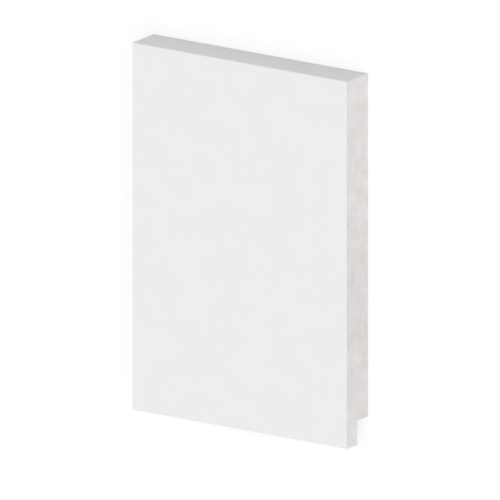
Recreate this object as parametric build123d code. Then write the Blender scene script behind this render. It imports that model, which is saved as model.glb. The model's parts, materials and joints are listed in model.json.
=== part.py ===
from build123d import *
import os

# Square-edged skirting board with a rebate along the back of its bottom edge.
# This is a short cut piece. It lies on its back, as loose stock does on a level floor:
#   X runs along the wall, +Y is up the wall, and +Z is out of the wall, into the room.
# The origin is on the floor, under the middle of the piece. All sizes are in millimetres.

# Driving dimensions
board_height = 150.0  # from the bottom edge to the top edge
board_thickness = 15.0  # from the back face to the front face
piece_length = 102.0  # along the wall, between the two sawn ends
rebate_height = 10.0  # how far the rebate reaches up the back
lip_thickness = 7.5  # what the rebate leaves standing at the front
face_arris_radius = 0.4  # eased long edges of the front face
back_arris_radius = 0.3  # eased long edges of the back and of the lip
rebate_root_radius = 0.5  # inner corner of the rebate

# Places of the section's faces, as (up the wall, out of the wall)
top_edge = board_height / 2
bottom_edge = -board_height / 2
rebate_ledge = bottom_edge + rebate_height
back_face = 0.0
front_face = board_thickness
lip_back = front_face - lip_thickness


def section_outline():
    """The section as it shows on a sawn end: each corner with its own radius, going round once."""
    corners = [
        ((bottom_edge, front_face), face_arris_radius),
        ((bottom_edge, lip_back), back_arris_radius),
        ((rebate_ledge, lip_back), rebate_root_radius),
        ((rebate_ledge, back_face), back_arris_radius),
        ((top_edge, back_face), back_arris_radius),
        ((top_edge, front_face), face_arris_radius),
    ]
    points = [point for point, radius in corners]
    radii = [radius for point, radius in corners]
    with BuildSketch(Plane.YZ) as outline:
        with BuildLine():
            FilletPolyline(points, radius=radii, close=True)
        make_face()
    return outline.sketch


def skirting_board():
    """The section carried straight along the wall, sawn square at both ends."""
    return extrude(section_outline(), amount=piece_length / 2, both=True)


os.makedirs("parts", exist_ok=True)
export_step(skirting_board(), "parts/skirting_board.step")
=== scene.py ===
import json
import math

import bpy
from mathutils import Matrix, Vector


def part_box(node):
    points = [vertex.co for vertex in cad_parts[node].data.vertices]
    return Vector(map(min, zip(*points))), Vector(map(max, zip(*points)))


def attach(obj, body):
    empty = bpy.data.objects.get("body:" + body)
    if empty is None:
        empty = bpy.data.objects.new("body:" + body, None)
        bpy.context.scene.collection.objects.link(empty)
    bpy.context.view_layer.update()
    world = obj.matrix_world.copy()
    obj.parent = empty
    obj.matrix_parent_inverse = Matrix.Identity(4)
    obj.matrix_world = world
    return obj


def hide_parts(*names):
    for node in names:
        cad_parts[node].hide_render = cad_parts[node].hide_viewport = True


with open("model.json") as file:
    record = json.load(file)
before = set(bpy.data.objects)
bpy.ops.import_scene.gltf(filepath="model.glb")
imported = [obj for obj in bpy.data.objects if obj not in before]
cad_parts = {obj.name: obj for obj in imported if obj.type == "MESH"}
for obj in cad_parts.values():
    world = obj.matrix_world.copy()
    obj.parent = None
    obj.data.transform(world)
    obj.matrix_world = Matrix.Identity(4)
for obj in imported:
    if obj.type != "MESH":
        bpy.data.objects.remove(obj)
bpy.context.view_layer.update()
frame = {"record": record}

# A short cut piece of square-edged skirting board, on its back on a white studio floor. It is one
# piece of polystyrene foam, primed on its front and long edges, bare on its back and sawn at both ends.
# X runs along the wall, +Y is up the wall and +Z is out of the wall. Everything is in metres.

mm = 0.001

# Sizes of the board, read from the frame
low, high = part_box("skirting_board")
mounts = {mount["name"]: Vector(mount["pos_m"]) for mount in frame["record"]["mounts"]}
board_length = high.x - low.x
board_height = high.y - low.y
board_thickness = high.z - low.z
rebate_height = mounts["rebate_ledge"].y - low.y
lip_thickness = 2 * (high.z - mounts["floor_edge"].z)  # the mount is in the middle of the lip

# Eased edges, which the frame doesn't give
face_arris = 0.4 * mm
back_arris = 0.3 * mm
rebate_root = 0.5 * mm
steps_round_an_edge = 4

# Mesh of a sawn end
mesh_step = 0.24 * mm
rim_width = 0.5 * mm  # between the outline of an end and its regular mesh
weld_distance = 0.001 * mm
sharp_bend = math.radians(35)  # an edge that bends more is shaded sharp

# Relief of a sawn end. The bubbles are coarser than the foam's real ones, which are 0.1 to 0.3 mm
# wide, so that they show in a render.
relief_seed = 4  # another number cuts the ends from another stretch of the foam
swell_size = 3.5 * mm  # soft swells where the saw met denser or looser foam
swell_depth = 0.12 * mm
tear_width = 0.9 * mm  # marks that the saw leaves up the end
tear_length = 5.0 * mm
tear_depth = 0.07 * mm
large_bubble = 0.6 * mm  # radius of the largest bubbles that the saw has opened
large_spacing = 2.2 * mm
large_depth = 0.3 * mm
small_bubble = 0.36 * mm
small_spacing = 0.9 * mm
small_depth = 0.14 * mm
crisp_edge = 0.6 * mm  # how far in from its edges an end reaches that roughness
chip_size = 0.9 * mm  # chips along the edges themselves
chip_depth = 0.12 * mm
chips_from = 0.5  # noise at which a chip starts, and at which it is as deep as it gets
chips_full = 0.8


def linear(hex_text):
    """An sRGB hex colour as linear red, green, blue and alpha."""
    channels = [int(hex_text[start:start + 2], 16) / 255 for start in (1, 3, 5)]
    return [c / 12.92 if c <= 0.04045 else ((c + 0.055) / 1.055) ** 2.4 for c in channels] + [1.0]


def add_node(tree, kind, settings, inputs):
    """Adds a node with its settings, and gives each named input a value or a link.

    A link comes from a socket, or from a node's first output. Where a node's inputs share a name, they
    go by number: a Mix node has two numbers in 2 and 3 and two colours in 6 and 7, with the mixed
    colour in output 2, and a Compare node has two whole numbers in 2 and 3."""
    node = tree.nodes.new(kind)
    for name, value in settings.items():
        setattr(node, name, value)
    for name, value in inputs.items():
        if isinstance(value, bpy.types.Node):
            value = value.outputs[0]
        socket = node.inputs[name]
        if isinstance(value, bpy.types.NodeSocket):
            tree.links.new(value, socket)
        else:
            socket.default_value = value
    return node


# Patterns that the materials and the board's tree share

def measured(tree, place, sizes):
    """A place counted in steps of the given sizes along X, Y and Z: a pattern on it has those sizes."""
    steps = add_node(tree, "ShaderNodeCombineXYZ", {}, dict(zip("XYZ", sizes)))
    return add_node(tree, "ShaderNodeVectorMath", {"operation": "DIVIDE"}, {0: place, 1: steps})


def scattered_balls(tree, place, spacing, largest):
    """Balls of all sizes, met by the surface: 0 between them, up to 1 in the middle of the largest.

    A cell's colour tells where its ball lies in it. A ball's size comes from the channel along Y, which
    runs in the sawn ends and in the front face, so that they cut small and large balls alike."""
    balls = add_node(tree, "ShaderNodeTexVoronoi", {}, {
        "Vector": measured(tree, place, [spacing] * 3), "Scale": 1.0})
    channels = add_node(tree, "ShaderNodeSeparateXYZ", {}, {0: balls.outputs["Color"]})
    chance = channels.outputs["Y"]
    radius = add_node(tree, "ShaderNodeMath", {"operation": "MULTIPLY"}, {0: chance, 1: largest})
    from_middle = add_node(tree, "ShaderNodeMath", {"operation": "MULTIPLY"}, {
        0: balls.outputs["Distance"], 1: spacing})
    bowl = add_node(tree, "ShaderNodeMapRange", {"interpolation_type": "SMOOTHSTEP"}, {
        "Value": from_middle, "From Max": radius, "To Min": 1.0, "To Max": 0.0})
    return add_node(tree, "ShaderNodeMath", {"operation": "MULTIPLY"}, {0: bowl, 1: chance})


# Materials
# A pattern made from a noise starts where the noise passes its "from" and is complete at its "full".

primer_dark = linear("#EAEBED")
primer_light = linear("#EDEEEF")
primer_thin = linear("#ECEDEF")  # the film seen edge on, and its mist on the back
foam_dark = linear("#E4DFDE")
foam_light = linear("#F5F1F0")
# torn crumbs, drawn whiter with painted light that shines through them
crumb_lit_through = linear("#FFFDFC")
skin_dark = linear("#E4E0DB")
skin_light = linear("#EEEBE7")
polymer_ior = 1.5  # acrylic has 1.49, and polystyrene a little more


def new_material(name):
    """A material with an empty tree, the tree, and Object coordinates for its patterns."""
    material = bpy.data.materials.new(name)
    material.use_nodes = True
    material.node_tree.nodes.clear()
    place = add_node(material.node_tree, "ShaderNodeTexCoord", {}, {})
    return material, material.node_tree, place.outputs["Object"]


def flaked(tree, place):
    """Where the primer has flaked: a ragged noise, lifted over its threshold beside a saw cut."""
    flake_size = 0.6 * mm
    flaked_strip = 0.4 * mm
    flake_lift = 0.3  # how much closer to flaking the primer is right beside a saw cut
    flakes_from = 0.73
    flakes_full = 0.77
    parts = add_node(tree, "ShaderNodeSeparateXYZ", {}, {0: place})
    lengthways = add_node(tree, "ShaderNodeMath", {"operation": "ABSOLUTE"}, {0: parts.outputs["X"]})
    lifted = add_node(tree, "ShaderNodeMapRange", {}, {
        "Value": lengthways, "From Min": high.x - flaked_strip, "From Max": high.x,
        "To Max": flake_lift})
    ragged = add_node(tree, "ShaderNodeTexNoise", {}, {
        "Vector": place, "Scale": 1 / flake_size, "Detail": 2.0})
    flaking = add_node(tree, "ShaderNodeMath", {"operation": "ADD"}, {0: lifted, 1: ragged})
    return add_node(tree, "ShaderNodeMapRange", {}, {
        "Value": flaking, "From Min": flakes_from, "From Max": flakes_full})


def sprayed_acrylic_primer():
    """Acrylic primer, sprayed on the front face and the long edges: an even cool white, softly glossy.

    From close by it has a faint orange peel, a few nibs of dust, and flakes gone beside the saw cuts."""
    drift_size = 14 * mm
    peel_size = 1.4 * mm
    peel_height = 0.004 * mm
    glossy_spots = 0.44  # roughness, from the most to the least glossy spots
    matt_spots = 0.54
    nib_spacing = 6 * mm
    largest_nib = 0.3 * mm
    nib_height = 0.03 * mm
    material, tree, place = new_material("sprayed_acrylic_primer")

    # Two whites that drift into each other, and bare foam where flakes have gone
    drift = add_node(tree, "ShaderNodeTexNoise", {}, {
        "Vector": place, "Scale": 1 / drift_size, "Detail": 2.0})
    primer = add_node(tree, "ShaderNodeMix", {"data_type": "RGBA"}, {
        0: drift, 6: primer_dark, 7: primer_light})
    colour = add_node(tree, "ShaderNodeMix", {"data_type": "RGBA"}, {
        0: flaked(tree, place), 6: primer.outputs[2], 7: foam_light})

    # Orange peel, in the gloss and in the relief, and nibs
    peel = add_node(tree, "ShaderNodeTexNoise", {}, {
        "Vector": place, "Scale": 1 / peel_size, "Detail": 1.0})
    sheen = add_node(tree, "ShaderNodeMapRange", {}, {
        "Value": peel, "To Min": glossy_spots, "To Max": matt_spots})
    orange_peel = add_node(tree, "ShaderNodeBump", {}, {
        "Height": peel, "Strength": 1.0, "Distance": peel_height})
    nibs = scattered_balls(tree, place, nib_spacing, largest_nib)
    relief = add_node(tree, "ShaderNodeBump", {}, {
        "Height": nibs, "Strength": 1.0, "Distance": nib_height, "Normal": orange_peel})

    surface = add_node(tree, "ShaderNodeBsdfPrincipled", {}, {
        "Base Color": colour.outputs[2], "Roughness": sheen, "Normal": relief, "IOR": polymer_ior})
    add_node(tree, "ShaderNodeOutputMaterial", {}, {"Surface": surface})
    return material


def foam_tone(tree, place, pores):
    """How light the sawn foam is, from 0 for its darker to 1 for its lighter colour.

    Denser and looser foam make clouds, pale flecks drawn up the end are painted highlights of the saw's
    relief, and the pores are darkened with painted shade."""
    batch_size = 80 * mm  # slow change of tone up the board
    batch_slice = 146.0  # the part of that slow pattern that this piece is cut from
    cloud_size = 7 * mm
    cloud_contrast = 0.95
    fleck_width = 2.4 * mm
    fleck_length = 5.5 * mm
    flecks_from = 0.5
    flecks_full = 0.8
    fleck_highlight = 0.38
    pore_shade = 0.35
    batch = add_node(tree, "ShaderNodeTexNoise", {"noise_dimensions": "4D"}, {
        "Vector": place, "W": batch_slice, "Scale": 1 / batch_size, "Detail": 0.0})
    clouds = add_node(tree, "ShaderNodeTexNoise", {}, {
        "Vector": place, "Scale": 1 / cloud_size, "Detail": 4.0, "Roughness": 0.72})
    swing = add_node(tree, "ShaderNodeMapRange", {"clamp": False}, {
        "Value": clouds, "To Min": -cloud_contrast, "To Max": cloud_contrast})
    clouded = add_node(tree, "ShaderNodeMath", {"operation": "ADD"}, {0: batch, 1: swing})
    drawn = add_node(tree, "ShaderNodeTexNoise", {}, {
        "Vector": measured(tree, place, (fleck_width, fleck_length, fleck_width)),
        "Scale": 1.0, "Detail": 1.0})
    # Painted highlights: pale flecks drawn up the end, where the saw's relief would catch the light
    flecks = add_node(tree, "ShaderNodeMapRange", {}, {
        "Value": drawn, "From Min": flecks_from, "From Max": flecks_full, "To Max": fleck_highlight})
    flecked = add_node(tree, "ShaderNodeMath", {"operation": "ADD"}, {0: clouded, 1: flecks})
    # Painted shade: the pores are darkened as the shade in them would darken them
    painted_pore_shade = add_node(tree, "ShaderNodeMath", {"operation": "MULTIPLY"}, {0: pores, 1: pore_shade})
    return add_node(tree, "ShaderNodeMath", {"operation": "SUBTRACT"}, {0: flecked, 1: painted_pore_shade})


def primer_edge_on(tree, place):
    """The film of primer on a sawn end: 1 along the front face and the two long edges, 0 elsewhere."""
    primer_film = 0.15 * mm
    primer_solid = 0.7 * primer_film  # the rest of the film fades into the foam
    parts = add_node(tree, "ShaderNodeSeparateXYZ", {}, {0: place})
    edgeways = add_node(tree, "ShaderNodeMath", {"operation": "ABSOLUTE"}, {0: parts.outputs["Y"]})
    on_face = add_node(tree, "ShaderNodeMapRange", {}, {
        "Value": parts.outputs["Z"], "From Min": high.z - primer_film, "From Max": high.z - primer_solid})
    on_edges = add_node(tree, "ShaderNodeMapRange", {}, {
        "Value": edgeways, "From Min": high.y - primer_film, "From Max": high.y - primer_solid})
    return add_node(tree, "ShaderNodeMath", {"operation": "MAXIMUM"}, {0: on_face, 1: on_edges})


def sawn_polystyrene_foam():
    """Dense polystyrene foam as a saw leaves it: matt, and clouded where the foam is denser or looser.

    The saw has opened fine pores, darkened with painted shade, and has drawn pale flecks up the end,
    which are painted highlights. The torn crumbs that cling to it are made whiter than the rest by
    painted light that shines through them. Pores, grain and crumbs are about twice as coarse as real
    ones, so that they show. The film of primer shows edge on, as a line finer than a pixel of the render."""
    pore_spacing = 0.5 * mm
    largest_pore = 0.3 * mm
    pore_depth = 0.06 * mm
    crumb_size = 0.9 * mm
    crumbs_from = 0.66
    crumbs_full = 0.7
    crumb_cover = 0.9
    grain_size = 0.5 * mm
    grain_height = 0.06 * mm
    foam_roughness = 0.9
    material, tree, place = new_material("sawn_polystyrene_foam")

    # Clouded foam, with painted highlights in its flecks and painted shade in its pores
    pores = scattered_balls(tree, place, pore_spacing, largest_pore)
    foam = add_node(tree, "ShaderNodeMix", {"data_type": "RGBA"}, {
        0: foam_tone(tree, place, pores), 6: foam_dark, 7: foam_light})

    # Torn crumbs on it, where a ragged noise peaks, whitened by painted light that shines through them,
    # and the film of primer
    torn = add_node(tree, "ShaderNodeTexNoise", {}, {
        "Vector": place, "Scale": 1 / crumb_size, "Detail": 3.0, "Roughness": 0.6})
    crumbs = add_node(tree, "ShaderNodeMapRange", {}, {
        "Value": torn, "From Min": crumbs_from, "From Max": crumbs_full, "To Max": crumb_cover})
    strewn = add_node(tree, "ShaderNodeMix", {"data_type": "RGBA"}, {
        0: crumbs, 6: foam.outputs[2], 7: crumb_lit_through})
    colour = add_node(tree, "ShaderNodeMix", {"data_type": "RGBA"}, {
        0: primer_edge_on(tree, place), 6: strewn.outputs[2], 7: primer_thin})

    # Grain and pores in the relief
    grain = add_node(tree, "ShaderNodeTexNoise", {}, {
        "Vector": place, "Scale": 1 / grain_size, "Detail": 5.0, "Roughness": 0.65})
    grained = add_node(tree, "ShaderNodeBump", {}, {
        "Height": grain, "Strength": 1.0, "Distance": grain_height})
    relief = add_node(tree, "ShaderNodeBump", {"invert": True}, {
        "Height": pores, "Strength": 1.0, "Distance": pore_depth, "Normal": grained})

    surface = add_node(tree, "ShaderNodeBsdfPrincipled", {}, {
        "Base Color": colour.outputs[2], "Roughness": foam_roughness, "Normal": relief,
        "IOR": polymer_ior})
    add_node(tree, "ShaderNodeOutputMaterial", {}, {"Surface": surface})
    return material


def primer_mist(tree, place):
    """Primer mist on the bare back, from 0 to 1: a ragged band that thins out from the primed edges."""
    mist_reach = 5 * mm
    spatter_size = 0.9 * mm
    mist_from = 0.85
    mist_full = 1.35
    parts = add_node(tree, "ShaderNodeSeparateXYZ", {}, {0: place})
    edgeways = add_node(tree, "ShaderNodeMath", {"operation": "ABSOLUTE"}, {0: parts.outputs["Y"]})
    near_edge = add_node(tree, "ShaderNodeMapRange", {}, {
        "Value": edgeways, "From Min": high.y - mist_reach, "From Max": high.y})
    spatter = add_node(tree, "ShaderNodeTexNoise", {}, {
        "Vector": place, "Scale": 1 / spatter_size, "Detail": 4.0})
    settled = add_node(tree, "ShaderNodeMath", {"operation": "ADD"}, {0: near_edge, 1: spatter})
    return add_node(tree, "ShaderNodeMapRange", {}, {
        "Value": settled, "From Min": mist_from, "From Max": mist_full})


def extruded_foam_skin():
    """The closed skin that extrusion leaves on polystyrene foam: a warmer white with a low sheen.

    Fine lines run along the stock. Primer mist has settled in a ragged band beside the primed edges."""
    line_length = 300 * mm
    line_width = 0.8 * mm
    line_depth = 0.02 * mm
    drift_size = 18 * mm
    dark_below = 0.1  # lines times drift, where the skin is at its darkest and at its lightest
    light_above = 0.4
    glossy_lines = 0.42  # roughness, from the most to the least glossy lines
    matt_lines = 0.62
    material, tree, place = new_material("extruded_foam_skin")

    # Lines that come and go with the skin's drift, and mist over them
    lines = add_node(tree, "ShaderNodeTexNoise", {}, {
        "Vector": measured(tree, place, (line_length, line_width, line_width)),
        "Scale": 1.0, "Detail": 3.0})
    drift = add_node(tree, "ShaderNodeTexNoise", {}, {
        "Vector": place, "Scale": 1 / drift_size, "Detail": 4.0})
    mixed = add_node(tree, "ShaderNodeMath", {"operation": "MULTIPLY"}, {0: lines, 1: drift})
    tone = add_node(tree, "ShaderNodeMapRange", {}, {
        "Value": mixed, "From Min": dark_below, "From Max": light_above})
    skin = add_node(tree, "ShaderNodeMix", {"data_type": "RGBA"}, {0: tone, 6: skin_dark, 7: skin_light})
    colour = add_node(tree, "ShaderNodeMix", {"data_type": "RGBA"}, {
        0: primer_mist(tree, place), 6: skin.outputs[2], 7: primer_thin})

    # The same lines in the gloss and in the relief
    sheen = add_node(tree, "ShaderNodeMapRange", {}, {
        "Value": lines, "To Min": glossy_lines, "To Max": matt_lines})
    relief = add_node(tree, "ShaderNodeBump", {}, {
        "Height": lines, "Strength": 1.0, "Distance": line_depth})

    surface = add_node(tree, "ShaderNodeBsdfPrincipled", {}, {
        "Base Color": colour.outputs[2], "Roughness": sheen, "Normal": relief, "IOR": polymer_ior})
    add_node(tree, "ShaderNodeOutputMaterial", {}, {"Surface": surface})
    return material


# The board, made by Geometry Nodes
# Its tree works in axes of its own, in which the section lies flat: X is up the wall, Y is out of the
# wall and Z is along it.

def board_sizes():
    """The sizes of the stock and of its sawn ends, by the names of the tree's inputs."""
    return {
        "Length": board_length, "Height": board_height, "Thickness": board_thickness,
        "Rebate Height": rebate_height, "Lip Thickness": lip_thickness,
        "Face Arris": face_arris, "Back Arris": back_arris, "Rebate Root": rebate_root,
        "Mesh Step": mesh_step, "Rim Width": rim_width,
        "Swell Size": swell_size, "Swell Depth": swell_depth,
        "Tear Width": tear_width, "Tear Length": tear_length, "Tear Depth": tear_depth,
        "Large Bubble": large_bubble, "Large Spacing": large_spacing, "Large Depth": large_depth,
        "Small Bubble": small_bubble, "Small Spacing": small_spacing, "Small Depth": small_depth,
        "Crisp Edge": crisp_edge, "Chip Size": chip_size, "Chip Depth": chip_depth,
    }


def empty_tree():
    """A tree with named inputs for the board's sizes, seed, place and materials, and those inputs."""
    tree = bpy.data.node_groups.new("skirting_board_stock", "GeometryNodeTree")
    tree.interface.new_socket(name="Mesh", in_out="OUTPUT", socket_type="NodeSocketGeometry")
    kinds = dict.fromkeys(board_sizes(), "NodeSocketFloat")
    kinds |= {"Seed": "NodeSocketInt", "Low Corner": "NodeSocketVector"}
    kinds |= dict.fromkeys(("Primer", "Bare Skin", "Sawn End"), "NodeSocketMaterial")
    for name, kind in kinds.items():
        tree.interface.new_socket(name=name, in_out="INPUT", socket_type=kind)
    return tree, add_node(tree, "NodeGroupInput", {}, {}).outputs


def section_corners(size, lip_back):
    """The section's corners, once round from the foot of the front face: up, out and the radius."""
    return [
        (0.0, size["Thickness"], size["Face Arris"]),
        (size["Height"], size["Thickness"], size["Face Arris"]),
        (size["Height"], 0.0, size["Back Arris"]),
        (size["Rebate Height"], 0.0, size["Back Arris"]),
        (size["Rebate Height"], lip_back, size["Rebate Root"]),
        (0.0, lip_back, size["Back Arris"]),
    ]


def rounded_section(tree, size, lip_back):
    """The section's closed outline as a curve, with its corners rounded."""
    corners = section_corners(size, lip_back)
    index = add_node(tree, "GeometryNodeInputIndex", {}, {})
    place = add_node(tree, "GeometryNodeIndexSwitch", {"data_type": "VECTOR"}, {"Index": index})
    radius = add_node(tree, "GeometryNodeIndexSwitch", {"data_type": "FLOAT"}, {"Index": index})
    for _ in corners[2:]:  # each switch has two items to start with
        place.index_switch_items.new()
        radius.index_switch_items.new()
    for item, (up, out, rounding) in enumerate(corners, start=1):  # a switch's input 0 is its index
        point = add_node(tree, "ShaderNodeCombineXYZ", {}, {"X": up, "Y": out})
        tree.links.new(point.outputs[0], place.inputs[item])
        tree.links.new(rounding, radius.inputs[item])
    line = add_node(tree, "GeometryNodeMeshLine", {}, {"Count": len(corners)})
    spline = add_node(tree, "GeometryNodeMeshToCurve", {}, {"Mesh": line})
    closed = add_node(tree, "GeometryNodeSetSplineCyclic", {}, {"Geometry": spline, "Cyclic": True})
    square = add_node(tree, "GeometryNodeSetPosition", {}, {"Geometry": closed, "Position": place})
    return add_node(tree, "GeometryNodeFilletCurve", {"mode": "POLY"}, {
        "Curve": square, "Count": steps_round_an_edge, "Radius": radius, "Limit Radius": True})


def section_outline(tree, size, lip_back):
    """The section's rounded outline, with a point at least each mesh step."""
    rounded = rounded_section(tree, size, lip_back)
    here = add_node(tree, "GeometryNodeInputPosition", {}, {})
    next_point = add_node(tree, "GeometryNodeOffsetPointInCurve", {}, {"Offset": 1})
    there = add_node(tree, "GeometryNodeFieldAtIndex", {"data_type": "FLOAT_VECTOR", "domain": "POINT"}, {
        "Value": here, "Index": next_point.outputs["Point Index"]})
    stretch = add_node(tree, "ShaderNodeVectorMath", {"operation": "DISTANCE"}, {0: here, 1: there})
    cuts = add_node(tree, "ShaderNodeMath", {"operation": "DIVIDE"}, {
        0: stretch.outputs["Value"], 1: size["Mesh Step"]})
    return add_node(tree, "GeometryNodeSubdivideCurve", {}, {"Curve": rounded, "Cuts": cuts})


def in_rebate(tree, size, lip_back):
    """Whether a point lies in the rebate, or within a rim's width of it."""
    here = add_node(tree, "GeometryNodeInputPosition", {}, {})
    parts = add_node(tree, "ShaderNodeSeparateXYZ", {}, {0: here})
    inside = []
    for axis, limit in (("X", size["Rebate Height"]), ("Y", lip_back)):
        edge = add_node(tree, "ShaderNodeMath", {"operation": "ADD"}, {0: limit, 1: size["Rim Width"]})
        inside.append(add_node(tree, "FunctionNodeCompare", {"operation": "LESS_THAN"}, {
            "A": parts.outputs[axis], "B": edge}))
    return add_node(tree, "FunctionNodeBooleanMath", {"operation": "AND"}, {0: inside[0], 1: inside[1]})


def regular_mesh(tree, size, lip_back):
    """A regular grid over the section, a rim's width clear of its outline, without the rebate."""
    rims = add_node(tree, "ShaderNodeMath", {"operation": "MULTIPLY"}, {0: size["Rim Width"], 1: 2.0})
    across = {}
    points = {}
    middle = {}
    for side in ("Height", "Thickness"):
        across[side] = add_node(tree, "ShaderNodeMath", {"operation": "SUBTRACT"}, {
            0: size[side], 1: rims})
        steps = add_node(tree, "ShaderNodeMath", {"operation": "DIVIDE"}, {
            0: across[side], 1: size["Mesh Step"]})
        points[side] = add_node(tree, "ShaderNodeMath", {"operation": "ADD"}, {0: steps, 1: 1.0})
        middle[side] = add_node(tree, "ShaderNodeMath", {"operation": "MULTIPLY"}, {
            0: size[side], 1: 0.5})
    grid = add_node(tree, "GeometryNodeMeshGrid", {}, {
        "Size X": across["Height"], "Size Y": across["Thickness"],
        "Vertices X": points["Height"], "Vertices Y": points["Thickness"]})
    centre = add_node(tree, "ShaderNodeCombineXYZ", {}, {
        "X": middle["Height"], "Y": middle["Thickness"]})
    placed = add_node(tree, "GeometryNodeTransform", {}, {"Geometry": grid, "Translation": centre})
    return add_node(tree, "GeometryNodeDeleteGeometry", {"domain": "POINT"}, {
        "Geometry": placed, "Selection": in_rebate(tree, size, lip_back)})


def flat_end(tree, size, outline, lip_back):
    """A flat end: the regular mesh, and a ring of triangles that joins it to the outline."""
    grid = regular_mesh(tree, size, lip_back)
    faces_beside = add_node(tree, "GeometryNodeInputMeshEdgeNeighbors", {}, {})
    border = add_node(tree, "FunctionNodeCompare", {"operation": "EQUAL", "data_type": "INT"}, {
        2: faces_beside, 3: 1})
    inner = add_node(tree, "GeometryNodeMeshToCurve", {}, {"Mesh": grid, "Selection": border})
    loops = add_node(tree, "GeometryNodeJoinGeometry", {}, {"Geometry": outline})
    tree.links.new(inner.outputs[0], loops.inputs[0])
    ring = add_node(tree, "GeometryNodeFillCurve", {"mode": "TRIANGLES"}, {"Curve": loops})
    both = add_node(tree, "GeometryNodeJoinGeometry", {}, {"Geometry": ring})
    tree.links.new(grid.outputs[0], both.inputs[0])
    return add_node(tree, "GeometryNodeMergeByDistance", {}, {
        "Geometry": both, "Distance": weld_distance})


def both_ends(tree, size, one_end):
    """The left and the right end, facing outwards, and the flag that marks their faces as sawn."""
    along = add_node(tree, "ShaderNodeCombineXYZ", {}, {"Z": size["Length"]})
    right_end = add_node(tree, "GeometryNodeTransform", {}, {"Geometry": one_end, "Translation": along})
    left_end = add_node(tree, "GeometryNodeFlipFaces", {}, {"Mesh": one_end})
    ends = add_node(tree, "GeometryNodeJoinGeometry", {}, {"Geometry": right_end})
    tree.links.new(left_end.outputs[0], ends.inputs[0])
    flagged = add_node(tree, "GeometryNodeCaptureAttribute", {"domain": "FACE"}, {"Geometry": ends})
    flagged.capture_items.new("BOOLEAN", "Sawn")
    flagged.inputs["Sawn"].default_value = True
    return flagged


def long_sides(tree, size, outline_mesh, lip_back):
    """The faces that run along the stock, and the flag that marks the back and the rebate as bare."""
    turned_away = -0.5  # a face looks back or down where its normal's Y or X is below this
    along = add_node(tree, "ShaderNodeCombineXYZ", {}, {"Z": size["Length"]})
    sides = add_node(tree, "GeometryNodeExtrudeMesh", {"mode": "EDGES"}, {
        "Mesh": outline_mesh, "Offset": along, "Offset Scale": 1.0})
    normal = add_node(tree, "GeometryNodeInputNormal", {}, {})
    facing = add_node(tree, "ShaderNodeSeparateXYZ", {}, {0: normal.outputs["True Normal"]})
    here = add_node(tree, "GeometryNodeInputPosition", {}, {})
    parts = add_node(tree, "ShaderNodeSeparateXYZ", {}, {0: here})
    backward = add_node(tree, "FunctionNodeCompare", {"operation": "LESS_THAN"}, {
        "A": facing.outputs["Y"], "B": turned_away})
    downward = add_node(tree, "FunctionNodeCompare", {"operation": "LESS_THAN"}, {
        "A": facing.outputs["X"], "B": turned_away})
    behind_lip = add_node(tree, "FunctionNodeCompare", {"operation": "LESS_THAN"}, {
        "A": parts.outputs["Y"], "B": lip_back})
    ledge = add_node(tree, "FunctionNodeBooleanMath", {"operation": "AND"}, {0: behind_lip, 1: downward})
    bare = add_node(tree, "FunctionNodeBooleanMath", {"operation": "OR"}, {0: backward, 1: ledge})
    flagged = add_node(tree, "GeometryNodeCaptureAttribute", {"domain": "FACE"}, {"Geometry": sides})
    flagged.capture_items.new("BOOLEAN", "Bare")
    tree.links.new(bare.outputs[0], flagged.inputs["Bare"])
    return flagged


def rough_inside(tree, size, met):
    """How deep the cut lies away from its edges: its swells, tears and opened bubbles, added up."""
    swells = add_node(tree, "ShaderNodeTexNoise", {}, {
        "Vector": measured(tree, met, [size["Swell Size"]] * 3), "Scale": 1.0, "Detail": 2.0})
    tear_sizes = (size["Tear Length"], size["Tear Width"], size["Tear Width"])
    tears = add_node(tree, "ShaderNodeTexNoise", {}, {
        "Vector": measured(tree, met, tear_sizes), "Scale": 1.0, "Detail": 1.0})
    large = scattered_balls(tree, met, size["Large Spacing"], size["Large Bubble"])
    small = scattered_balls(tree, met, size["Small Spacing"], size["Small Bubble"])
    depth = 0.0
    for form, name in ((swells, "Swell"), (tears, "Tear"), (large, "Large"), (small, "Small")):
        depth = add_node(tree, "ShaderNodeMath", {"operation": "MULTIPLY_ADD"}, {
            0: form, 1: size[name + " Depth"], 2: depth})
    return depth


def chipped_edge(tree, size, met):
    """How deep the cut is chipped right at its edges."""
    broken = add_node(tree, "ShaderNodeTexNoise", {}, {
        "Vector": measured(tree, met, [size["Chip Size"]] * 3), "Scale": 1.0, "Detail": 2.0})
    return add_node(tree, "ShaderNodeMapRange", {}, {
        "Value": broken, "From Min": chips_from, "From Max": chips_full, "To Max": size["Chip Depth"]})


def sawn_depth(tree, size, outline_mesh):
    """How deep an end lies at each point: chipped at its edges, and rough from a little way in."""
    here = add_node(tree, "GeometryNodeInputPosition", {}, {})
    other_stock = add_node(tree, "ShaderNodeCombineXYZ", {}, {"Z": size["Seed"]})
    met = add_node(tree, "ShaderNodeVectorMath", {"operation": "ADD"}, {0: here, 1: other_stock})
    in_section = add_node(tree, "ShaderNodeVectorMath", {"operation": "MULTIPLY"}, {
        0: here, 1: (1, 1, 0)})
    nearest = add_node(tree, "GeometryNodeProximity", {"target_element": "EDGES"}, {
        "Geometry": outline_mesh, "Sample Position": in_section})
    inside = add_node(tree, "ShaderNodeMapRange", {"interpolation_type": "SMOOTHSTEP"}, {
        "Value": nearest.outputs["Distance"], "From Max": size["Crisp Edge"]})
    return add_node(tree, "ShaderNodeMix", {}, {
        0: inside, 2: chipped_edge(tree, size, met), 3: rough_inside(tree, size, met)})


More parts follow.
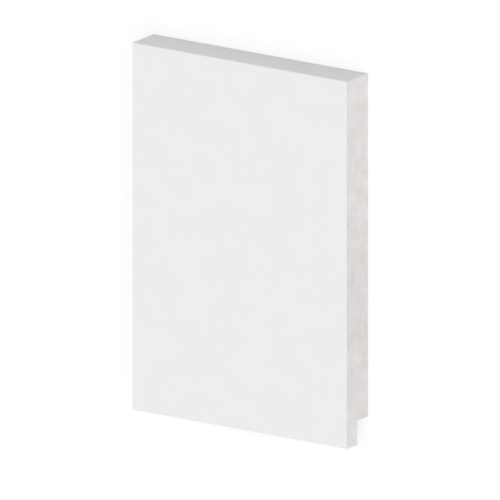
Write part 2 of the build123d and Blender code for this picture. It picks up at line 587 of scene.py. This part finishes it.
def with_sawn_ends(tree, size, prism, outline_mesh):
    """The prism with the saw's relief, which goes inwards from both of its ends."""
    here = add_node(tree, "GeometryNodeInputPosition", {}, {})
    where = add_node(tree, "ShaderNodeSeparateXYZ", {}, {0: here})
    inwards = add_node(tree, "ShaderNodeMapRange", {}, {
        "Value": where.outputs["Z"], "From Max": size["Length"], "To Min": 1.0, "To Max": -1.0})
    depth = sawn_depth(tree, size, outline_mesh)
    shift = add_node(tree, "ShaderNodeMath", {"operation": "MULTIPLY"}, {0: depth, 1: inwards})
    cut_back = add_node(tree, "ShaderNodeCombineXYZ", {}, {"Z": shift})
    return add_node(tree, "GeometryNodeSetPosition", {}, {"Geometry": prism, "Offset": cut_back})


def on_its_back(tree, size, board):
    """The board turned from the tree's axes to the frame's, and put where the frame has it."""
    here = add_node(tree, "GeometryNodeInputPosition", {}, {})
    where = add_node(tree, "ShaderNodeSeparateXYZ", {}, {0: here})
    turned = add_node(tree, "ShaderNodeCombineXYZ", {}, {
        "X": where.outputs["Z"], "Y": where.outputs["X"], "Z": where.outputs["Y"]})
    lying = add_node(tree, "ShaderNodeVectorMath", {"operation": "ADD"}, {
        0: turned, 1: size["Low Corner"]})
    return add_node(tree, "GeometryNodeSetPosition", {}, {"Geometry": board, "Position": lying})


def smoothly_shaded(tree, board):
    """The board shaded smooth, apart from the edges that bend sharply."""
    smooth = add_node(tree, "GeometryNodeSetShadeSmooth", {"domain": "FACE"}, {
        "Geometry": board, "Shade Smooth": True})
    bend = add_node(tree, "GeometryNodeInputMeshEdgeAngle", {}, {})
    sharp = add_node(tree, "FunctionNodeCompare", {"operation": "GREATER_THAN"}, {
        "A": bend, "B": sharp_bend})
    return add_node(tree, "GeometryNodeSetShadeSmooth", {"domain": "EDGE"}, {
        "Geometry": smooth, "Selection": sharp, "Shade Smooth": False})


def board_tree():
    """The tree that makes the whole board from its inputs."""
    tree, size = empty_tree()
    lip_back = add_node(tree, "ShaderNodeMath", {"operation": "SUBTRACT"}, {
        0: size["Thickness"], 1: size["Lip Thickness"]})
    outline = section_outline(tree, size, lip_back)
    outline_mesh = add_node(tree, "GeometryNodeCurveToMesh", {}, {"Curve": outline})
    ends = both_ends(tree, size, flat_end(tree, size, outline, lip_back))
    sides = long_sides(tree, size, outline_mesh, lip_back)
    faces = add_node(tree, "GeometryNodeJoinGeometry", {}, {"Geometry": sides})
    tree.links.new(ends.outputs[0], faces.inputs[0])
    prism = add_node(tree, "GeometryNodeMergeByDistance", {}, {
        "Geometry": faces, "Distance": weld_distance})
    sawn = with_sawn_ends(tree, size, prism, outline_mesh)
    shaded = smoothly_shaded(tree, on_its_back(tree, size, sawn))

    real = add_node(tree, "GeometryNodeRealizeInstances", {}, {"Geometry": shaded})
    primed = add_node(tree, "GeometryNodeSetMaterial", {}, {"Geometry": real, "Material": size["Primer"]})
    backed = add_node(tree, "GeometryNodeSetMaterial", {}, {
        "Geometry": primed, "Selection": sides.outputs["Bare"], "Material": size["Bare Skin"]})
    finished = add_node(tree, "GeometryNodeSetMaterial", {}, {
        "Geometry": backed, "Selection": ends.outputs["Sawn"], "Material": size["Sawn End"]})
    add_node(tree, "NodeGroupOutput", {}, {"Mesh": finished})
    return tree


def set_inputs(modifier, values):
    """Gives a tree's named inputs their values, each by its socket's identifier."""
    for socket in modifier.node_group.interface.items_tree:
        if socket.in_out == "INPUT":
            modifier[socket.identifier] = values[socket.name]


def make_board():
    """The board as a plain mesh that takes the place of the CAD node."""
    board = bpy.data.objects.new("primed_board", bpy.data.meshes.new("stock"))
    bpy.context.scene.collection.objects.link(board)
    modifier = board.modifiers.new("stock", "NODES")
    modifier.node_group = board_tree()
    set_inputs(modifier, board_sizes() | {
        "Seed": relief_seed, "Low Corner": low,
        "Primer": sprayed_acrylic_primer(), "Bare Skin": extruded_foam_skin(),
        "Sawn End": sawn_polystyrene_foam(),
    })
    bpy.context.view_layer.update()
    evaluated = board.evaluated_get(bpy.context.evaluated_depsgraph_get())
    board.data = bpy.data.meshes.new_from_object(evaluated)
    board.data.name = "primed_board"
    board.modifiers.clear()
    while board.data.materials[0] is None:  # the mesh starts with an empty slot
        board.data.materials.pop(index=0)
    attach(board, "root")
    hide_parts("skirting_board")


# Studio

# Light, at a level where a colour renders about as it is written
white = linear("#FFFFFF")
dome_strength = 0.66
lamp_strength = 1.26
lamp_spread = math.radians(60)
towards_lamp = Vector((0.21, -0.03, 0.33))  # only its direction counts

# Floor
floor_width = 8.0
floor_shade = linear("#959595")
floor_glow = 0.72  # added to the lit shade, it makes the white that the camera sees
floor_bounce = linear("#D0D0D0")  # the floor's colour for the light that it sends back

# Where the photograph is taken from, as seen by someone who faces the upright board
turned_right = math.radians(34.27)
looking_down = math.radians(15.59)
picture_width = 196.6 * mm
aim_left = 4.38 * mm  # how far the picture's centre lies left of the origin
aim_below = 4.99 * mm  # and how far below it
camera_distance = 1.0  # a parallel view is the same from any distance


def seen_directly(tree):
    """1 for what the camera sees, also by way of gloss or glass, and 0 for light that falls on things."""
    path = add_node(tree, "ShaderNodeLightPath", {}, {})
    gloss_or_glass = add_node(tree, "ShaderNodeMath", {"operation": "MAXIMUM"}, {
        0: path.outputs["Is Glossy Ray"], 1: path.outputs["Is Transmission Ray"]})
    return add_node(tree, "ShaderNodeMath", {"operation": "MAXIMUM"}, {
        0: path.outputs["Is Camera Ray"], 1: gloss_or_glass})


def add_floor():
    """A plain white floor that keeps the board's faint shadow. To the light it is a plain pale grey."""
    bpy.ops.mesh.primitive_plane_add(size=floor_width, location=(0, 0, low.z))
    floor = bpy.context.object
    floor.name = "studio_floor"
    material = bpy.data.materials.new("white_floor")
    material.use_nodes = True
    tree = material.node_tree
    tree.nodes.clear()
    glow = add_node(tree, "ShaderNodeEmission", {}, {"Strength": floor_glow})
    shade = add_node(tree, "ShaderNodeBsdfDiffuse", {}, {"Color": floor_shade})
    lit_white = add_node(tree, "ShaderNodeAddShader", {}, {0: glow, 1: shade})
    bounce = add_node(tree, "ShaderNodeBsdfDiffuse", {}, {"Color": floor_bounce})
    surface = add_node(tree, "ShaderNodeMixShader", {}, {
        0: seen_directly(tree), 1: bounce, 2: lit_white})
    add_node(tree, "ShaderNodeOutputMaterial", {}, {"Surface": surface})
    floor.data.materials.append(material)


def add_world():
    """A soft white dome. The camera and reflections see it as plain white."""
    world = bpy.data.worlds.new("white_dome")
    bpy.context.scene.world = world
    world.use_nodes = True
    tree = world.node_tree
    tree.nodes.clear()
    dome = add_node(tree, "ShaderNodeBackground", {}, {"Color": white, "Strength": dome_strength})
    backdrop = add_node(tree, "ShaderNodeBackground", {}, {"Color": white, "Strength": 1.0})
    light = add_node(tree, "ShaderNodeMixShader", {}, {0: seen_directly(tree), 1: dome, 2: backdrop})
    add_node(tree, "ShaderNodeOutputWorld", {}, {"Surface": light})


def add_lamp():
    """One broad soft lamp, high on the side of the sawn end that the photograph shows."""
    data = bpy.data.lights.new("soft_key", "SUN")
    data.energy = lamp_strength
    data.angle = lamp_spread
    lamp = bpy.data.objects.new("soft_key", data)
    lamp.rotation_euler = towards_lamp.to_track_quat("Z", "Y").to_euler()
    bpy.context.scene.collection.objects.link(lamp)


def add_camera():
    """A parallel view, as the photograph's very long lens gives, with the board's top edge upwards."""
    back = Vector((
        math.cos(looking_down) * math.sin(turned_right),
        math.sin(looking_down),
        math.cos(looking_down) * math.cos(turned_right),
    ))
    right = Vector((0, 1, 0)).cross(back).normalized()
    up = back.cross(right)
    turn = Matrix((right, up, back)).transposed().to_4x4()
    data = bpy.data.cameras.new("camera")
    data.type = "ORTHO"
    data.ortho_scale = picture_width
    camera = bpy.data.objects.new("camera", data)
    place = back * camera_distance - right * aim_left - up * aim_below
    camera.matrix_world = Matrix.Translation(place) @ turn
    bpy.context.scene.collection.objects.link(camera)
    bpy.context.scene.camera = camera


bpy.context.scene.view_settings.view_transform = "Standard"
make_board()
add_floor()
add_world()
add_lamp()
add_camera()
